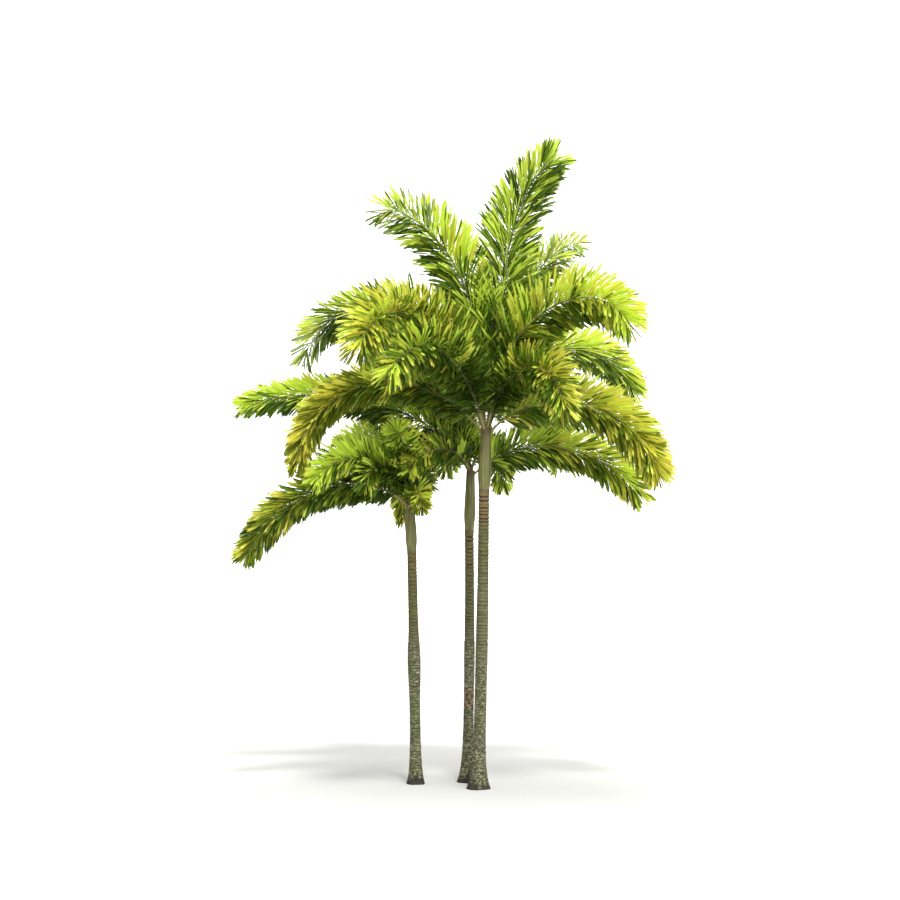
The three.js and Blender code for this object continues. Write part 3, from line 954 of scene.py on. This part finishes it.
# How the leaflets stand: shares of the reach, with the angle between leaflet and rib at each in degrees.
# Lean, turn and twist jitter by radians.
LEAN_SHARES = (LEAFLESS, 0.4, 0.8, 1.0)
LEAN_ANGLES = (60, 52, 43, 30)
LEAN_JITTER = 0.07
TURN_JITTER = 0.12
PLACE_JITTER = 0.1  # share of the gap between two whorls
FIRST_PLACE = 0.9  # share of the bare stalk below which no leaflet strays
TWIST_JITTER = 0.45

LENGTH_GAIN = 1.13
LENGTH_SPREAD = (0.82, 1.08)
ABOVE_GAIN = 0.18  # how much longer the leaflets above the rib are, as a share
ABOVE_FADE = (0.6, 0.8)  # shares of the reach between which that fades
WIDTH_SPREAD = (0.75, 1.15)
WIDTH_FLOOR = 0.7  # share of the width that doesn't shrink with the length

# A leaflet that points up or down sags less than a level one.
SAG_SPREAD = (0.5, 1.5)
SAG_LIMITS = (0.2, 1)
LEVEL_SAG = 1.2
STEEP_SAG_LOSS = 0.7

# Shares of the reach between which leaflets are lost, and the share that is left beyond.
LOSS_PLACE = (0.62, 0.9)
LEFT_ON = 0.85
LEFT_ON_THIN = 0.35

# How light a leaflet's tint is: its frond's tone, with painted sunlight for one that faces up and painted
# shade for one that faces down, and more for one near the tip.
SPRAY = 2  # leaflets in a spray
SPRAY_JITTER = 0.2
WHORL_JITTER = 0.17
# Painted sunlight on leaflets that face up, painted shade on those that face down.
PAINTED_TOP_LIGHT = 0.24
TIP_LIGHT = 0.3
TIP_LIGHT_PLACE = 0.55

# Lightness above or below which a leaflet takes a tint. WARM_PLACE and PALE_PLACE are shares of the reach.
DEEP_BELOW = 0.26
BRIGHT_ABOVE = 0.5
LIME_ABOVE = 0.74
GOLD_ABOVE = 0.55
WARM_PLACE = (0.25, 0.6)
WARM_START = 0.25
PALE_SHARE = 0.3
PALE_PLACE = 0.75


def unit(vectors):
    """Vectors brought to a length of 1."""
    return vectors / np.linalg.norm(vectors, axis=-1, keepdims=True)


def fullness(share):
    """How long the leaflets are at shares of the reach, against their longest."""
    leafy = np.clip((share - LEAFLESS) / (1 - LEAFLESS), 0, 1)
    opening = 1 - (1 - np.minimum(1, leafy / OPENING_END)) ** 2
    closing = np.clip((leafy - CLOSING_START) / (1 - CLOSING_START), 0, 1)
    return (FIRST_LENGTH + (1 - FIRST_LENGTH) * opening) * (1 - CLOSING_LOSS * closing**CLOSING_CURVE)


def leaflet_places(frond, settings, rng):
    """Each leaflet's share of the reach and its angle round the rib."""
    whorls = int(frond.reach * (1 - LEAFLESS) / settings.gap)
    share = np.repeat(np.linspace(LEAFLESS, LAST_WHORL, whorls), settings.whorl)
    number = np.tile(np.arange(settings.whorl), whorls)
    turn = np.repeat(rng.uniform(0, 2 * math.pi, whorls), settings.whorl)
    around = number * 2 * math.pi / settings.whorl + turn + rng.normal(0, TURN_JITTER, len(share))
    stray = rng.normal(0, PLACE_JITTER * settings.gap / frond.reach, len(share))
    return np.clip(share + stray, LEAFLESS * FIRST_PLACE, 1), around


def leaflet_sizes(frond, settings, rng, share, around):
    """Each leaflet's length and half width."""
    full = fullness(share)
    length = frond.spread * full * LENGTH_GAIN * rng.uniform(*LENGTH_SPREAD, len(share))
    length *= 1 + np.interp(share, ABOVE_FADE, (ABOVE_GAIN, 0.0)) * np.clip(np.sin(around), 0, 1)
    width = settings.width * 0.5 * rng.uniform(*WIDTH_SPREAD, len(share))
    return length, width * (WIDTH_FLOOR + (1 - WIDTH_FLOOR) * full)


def leaflet_facing(along, out, rng):
    """The directions across each leaflet and out of its face."""
    flat = unit(along - np.sum(along * out, 1, keepdims=True) * out)
    twist = rng.normal(0, TWIST_JITTER, len(out))[:, None]
    across = np.cos(twist) * flat + np.sin(twist) * np.cross(out, flat)
    return across, np.cross(out, across)


def leaflet_mesh(frond, settings, rng):
    """The corners of a frond's leaflets, as an array of leaflets by corners by 3, and each one's tint."""
    share, around = leaflet_places(frond, settings, rng)
    count = len(share)
    points, along, side, above = frond.at(share)
    radial = np.cos(around)[:, None] * side + np.sin(around)[:, None] * above
    lean = np.radians(np.interp(share, LEAN_SHARES, LEAN_ANGLES)) + rng.normal(0, LEAN_JITTER, count)
    out = np.cos(lean)[:, None] * along + np.sin(lean)[:, None] * radial
    reach, width = leaflet_sizes(frond, settings, rng, share, around)
    across, normal = leaflet_facing(along, out, rng)
    sag = settings.droop * rng.uniform(*SAG_SPREAD, count)
    sag *= np.clip(LEVEL_SAG - np.abs(out[:, 2]) * STEEP_SAG_LOSS, *SAG_LIMITS)

    flip = np.where(rng.random(count) < 0.5, -1.0, 1.0)
    length, half = LEAFLET[:, 0], LEAFLET[:, 1]
    jitter = rng.uniform(-TEETH_JITTER, TEETH_JITTER, (count, len(LEAFLET)))
    tooth = 1 + jitter * (length > TEETH)
    forward = (reach[:, None] * length * tooth)[..., None] * out[:, None, :]
    sideways = (width * flip)[:, None, None] * half[None, :, None] * across[:, None, :]
    fold = (width[:, None] * FOLD * np.abs(half))[..., None] * normal[:, None, :]
    down = np.zeros((count, len(LEAFLET), 3))
    down[..., 2] = -(sag * reach)[:, None] * length**2
    corners = points[:, None, :] + forward + sideways + fold + down
    tints = leaflet_tints(frond, settings, rng, share, radial)
    left_on = LEFT_ON_THIN if frond.thin else LEFT_ON
    kept = rng.random(count) < np.interp(share, LOSS_PLACE, (1.0, left_on))
    return corners[kept], tints[kept]


def leaflet_tints(frond, settings, rng, share, radial):
    """A tint for each leaflet. The leaflets of a spray stand side by side in a whorl and share theirs."""
    whorls = len(share) // settings.whorl
    sprays = len(share) // SPRAY
    loose = np.repeat(rng.normal(0, SPRAY_JITTER, sprays), SPRAY)
    loose += np.repeat(rng.normal(0, WHORL_JITTER, whorls), settings.whorl)
    warmth = frond.warmth * np.interp(share, WARM_PLACE, (WARM_START, 1))
    warm = np.repeat(rng.random(sprays), SPRAY) < warmth
    pale = np.repeat(rng.random(sprays), SPRAY) < PALE_SHARE
    # Painted light: facing up lightens a leaflet's tint towards lime, facing down darkens it towards deep
    # green.
    light = frond.tone + PAINTED_TOP_LIGHT * radial[:, 2] + TIP_LIGHT * (share - TIP_LIGHT_PLACE) + loose
    tint = np.full(len(share), "green")
    tint[light > BRIGHT_ABOVE] = "bright"
    tint[light > LIME_ABOVE] = "lime"
    tint[light < DEEP_BELOW] = "deep"
    tint[warm & (light > GOLD_ABOVE)] = "gold"
    tint[warm & (light <= GOLD_ABOVE)] = "olive"
    tint[pale & (share > PALE_PLACE) & frond.thin] = "pale"
    return tint


class PALM_OT_leaflets(bpy.types.Operator):
    """Models the leaflets of every frond, in one piece for each stem and tint"""

    bl_idname = "palm.leaflets"
    bl_label = "Leaflets"

    def execute(self, context):
        settings = context.scene.palm_leaflet
        rng = np.random.default_rng(settings.seed)
        materials = {tint: leaflet_material(tint, getattr(settings, tint)) for tint in TINTS}
        for stem_name in STEMS:
            grown = [leaflet_mesh(frond, settings, rng) for frond in fronds_of(stem_name)]
            corners = np.concatenate([leaflets for leaflets, _ in grown])
            tints = np.concatenate([tint for _, tint in grown])
            for tint in TINTS:
                chosen = corners[tints == tint]
                if not len(chosen):
                    continue
                starts = np.arange(len(chosen)) * len(LEAFLET)
                faces = (LEAFLET_FACES[None] + starts[:, None, None]).reshape(-1, 3).tolist()
                piece = new_piece(f"{stem_name}_{tint}_leaflets", chosen.reshape(-1, 3), faces)
                settled(piece, materials[tint])
        return {"FINISHED"}


# ------------ stage

CAMERA_PLACE = (-0.27, -12.0, 1.6)
CAMERA_PITCH = math.radians(8.0)
CAMERA_LENS = 48.52
CAMERA_SENSOR = 36.0
CAMERA_CLIP = 400.0
TOP_TILT = (math.radians(-3), math.radians(-0.5), 0.0)
TOP_ANGLE = math.radians(28)
KEY_TILT = (math.radians(32), 0.0, math.radians(12))
KEY_ANGLE = math.radians(9)
FRONT_TILT = (math.radians(58), 0.0, math.radians(28))
FRONT_ANGLE = math.radians(50)
LIGHT_TONE = (1.0, 0.99, 0.94)
SKY_TONE = (1.0, 1.0, 1.0, 1.0)
FLOOR_SIZE = 160.0
FLOOR_DEPTH = 0.001
FLOOR_TONE = (0.6, 0.6, 0.6)
DOME_RADIUS = 90.0


class PALM_OT_stage(bpy.types.Operator):
    """Sets up the pale floor, the backdrop, the soft lights and the camera"""

    bl_idname = "palm.stage"
    bl_label = "Stage"

    def execute(self, context):
        settings = context.scene.palm_stage
        deselect()
        bpy.ops.mesh.primitive_plane_add(size=FLOOR_SIZE, location=(0, 0, -FLOOR_DEPTH))
        floor = context.object
        floor.name = "floor"
        floor.data.materials.append(plain_material("floor", FLOOR_TONE, 0.9))

        deselect()
        bpy.ops.mesh.primitive_uv_sphere_add(segments=48, ring_count=24, radius=DOME_RADIUS)
        dome = context.object
        dome.name = "backdrop"
        dome.data.materials.append(plain_material("backdrop", settings.backdrop, 1.0, glow=1.0))
        for ray in ("diffuse", "glossy", "transmission", "volume_scatter", "shadow"):
            setattr(dome, f"visible_{ray}", False)

        world = bpy.data.worlds.new("sky")
        world.use_nodes = True
        sky = world.node_tree.nodes["Background"]
        sky.inputs["Color"].default_value = SKY_TONE
        sky.inputs["Strength"].default_value = settings.fill
        context.scene.world = world

        for tilt, angle, energy in (
            (TOP_TILT, TOP_ANGLE, settings.top),
            (KEY_TILT, KEY_ANGLE, settings.key),
            (FRONT_TILT, FRONT_ANGLE, settings.front),
        ):
            bpy.ops.object.light_add(type="SUN", rotation=tilt)
            light = context.object.data
            light.energy = energy
            light.angle = angle
            light.color = LIGHT_TONE

        bpy.ops.object.camera_add(location=CAMERA_PLACE, rotation=(math.pi / 2 + CAMERA_PITCH, 0, 0))
        camera = context.object
        camera.data.lens = CAMERA_LENS
        camera.data.sensor_width = CAMERA_SENSOR
        camera.data.clip_end = CAMERA_CLIP
        context.scene.camera = camera
        context.scene.view_settings.view_transform = "Standard"
        return {"FINISHED"}


# ------------ panel and registration


class PALM_PT_panel(bpy.types.Panel):
    """Lists the operators and their settings"""

    bl_label = "Foxtail palm clump"
    bl_idname = "PALM_PT_panel"
    bl_space_type = "VIEW_3D"
    bl_region_type = "UI"
    bl_category = "Palm"

    def draw(self, context):
        for operator in OPERATORS:
            self.layout.operator(operator.bl_idname)
        for name, (title, group) in SETTINGS.items():
            box = self.layout.box()
            box.label(text=title)
            for prop in group.__annotations__:
                box.prop(getattr(context.scene, name), prop)


# The groups of settings, by their name on the scene, each with its title.
SETTINGS = {
    "palm_trunk": ("Trunks", PalmTrunkSettings),
    "palm_shaft": ("Crownshafts", PalmShaftSettings),
    "palm_rib": ("Ribs", PalmRibSettings),
    "palm_leaflet": ("Leaflets", PalmLeafletSettings),
    "palm_stage": ("Stage", PalmStageSettings),
}
OPERATORS = (PALM_OT_stage, PALM_OT_trunks, PALM_OT_crownshafts, PALM_OT_ribs, PALM_OT_leaflets)


def register():
    for name, (title, group) in SETTINGS.items():
        bpy.utils.register_class(group)
        setattr(bpy.types.Scene, name, PointerProperty(name=title, type=group))
    for operator in OPERATORS:
        bpy.utils.register_class(operator)
    bpy.utils.register_class(PALM_PT_panel)


def unregister():
    bpy.utils.unregister_class(PALM_PT_panel)
    for operator in reversed(OPERATORS):
        bpy.utils.unregister_class(operator)
    for name, (_, group) in reversed(SETTINGS.items()):
        delattr(bpy.types.Scene, name)
        bpy.utils.unregister_class(group)


def main():
    register()
    bpy.ops.palm.stage()
    bpy.ops.palm.trunks()
    bpy.ops.palm.crownshafts()
    bpy.ops.palm.ribs()
    bpy.ops.palm.leaflets()


if __name__ == "__main__":
    main()
